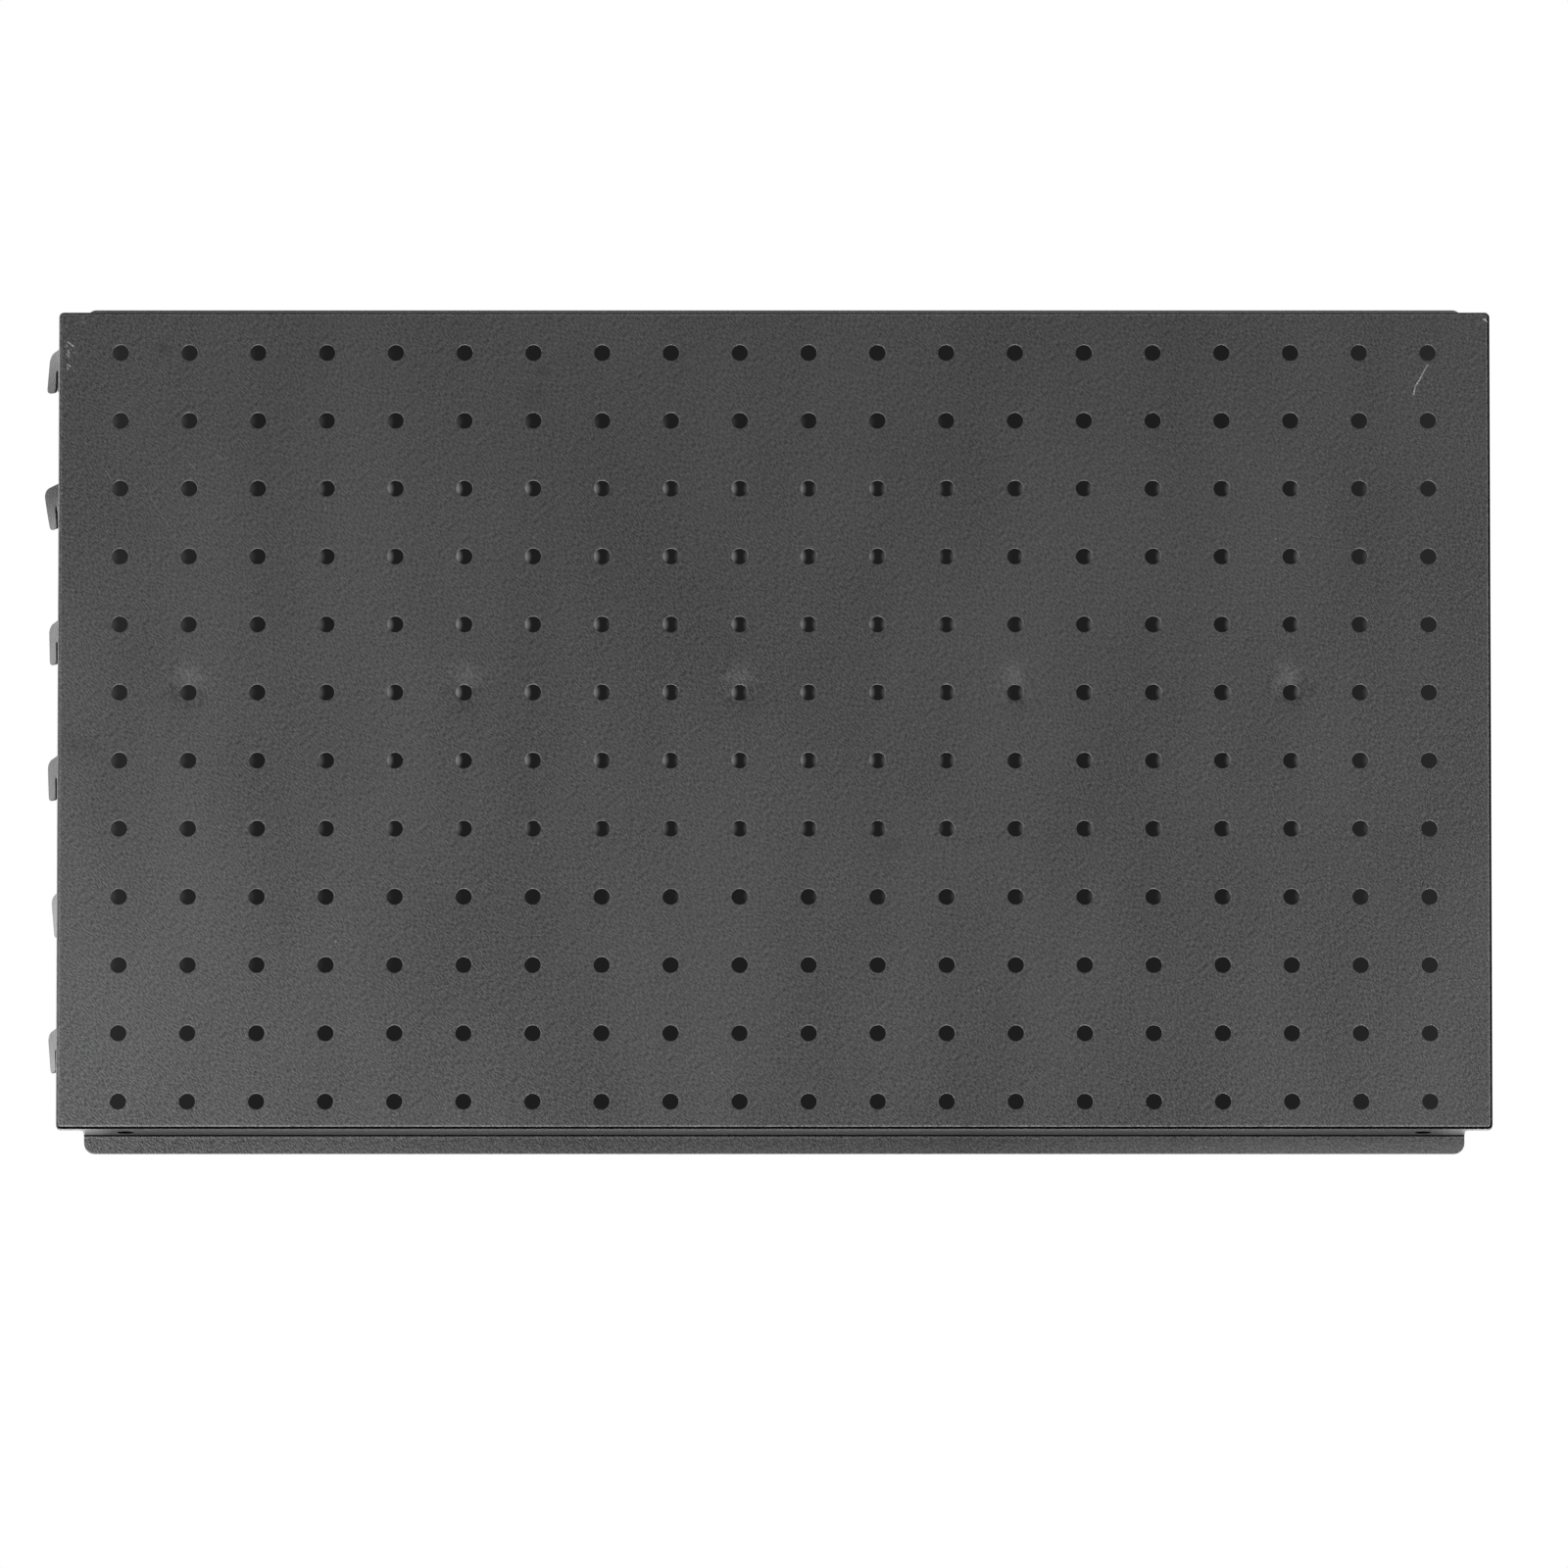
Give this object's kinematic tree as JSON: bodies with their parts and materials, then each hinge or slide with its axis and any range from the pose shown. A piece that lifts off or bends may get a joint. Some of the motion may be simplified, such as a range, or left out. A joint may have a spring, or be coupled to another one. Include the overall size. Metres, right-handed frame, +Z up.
{
  "type": "perforated tool panel",
  "caption": "Pressed steel pegboard panel in charcoal powder coat, with flanged edges and side hooks that drop into slotted uprights.",
  "frame": {"origin": "centre of the front face, in the plane of the face", "axes": "+X along the panel's width, +Y from the face towards the wall, +Z up"},
  "size_m": [0.5256, 0.0298, 0.3105],
  "materials": {
    "powder_coat": "fine-texture satin powder coat",
    "coated_weld": "rippled weld bead under powder coat"
  },
  "bodies": {
    "root": {"face_panel": "powder_coat", "mid_stiffener": "powder_coat", "stiffener_weld_1": "coated_weld", "stiffener_weld_2": "coated_weld", "stiffener_weld_3": "coated_weld", "stiffener_weld_4": "coated_weld", "stiffener_weld_5": "coated_weld", "left_hook_1": "powder_coat", "left_hook_2": "powder_coat", "left_hook_3": "powder_coat", "left_hook_4": "powder_coat", "left_hook_5": "powder_coat", "left_hook_6": "powder_coat", "right_hook_1": "powder_coat", "right_hook_2": "powder_coat", "right_hook_3": "powder_coat", "right_hook_4": "powder_coat", "right_hook_5": "powder_coat", "right_hook_6": "powder_coat"}
  },
  "joints": []
}
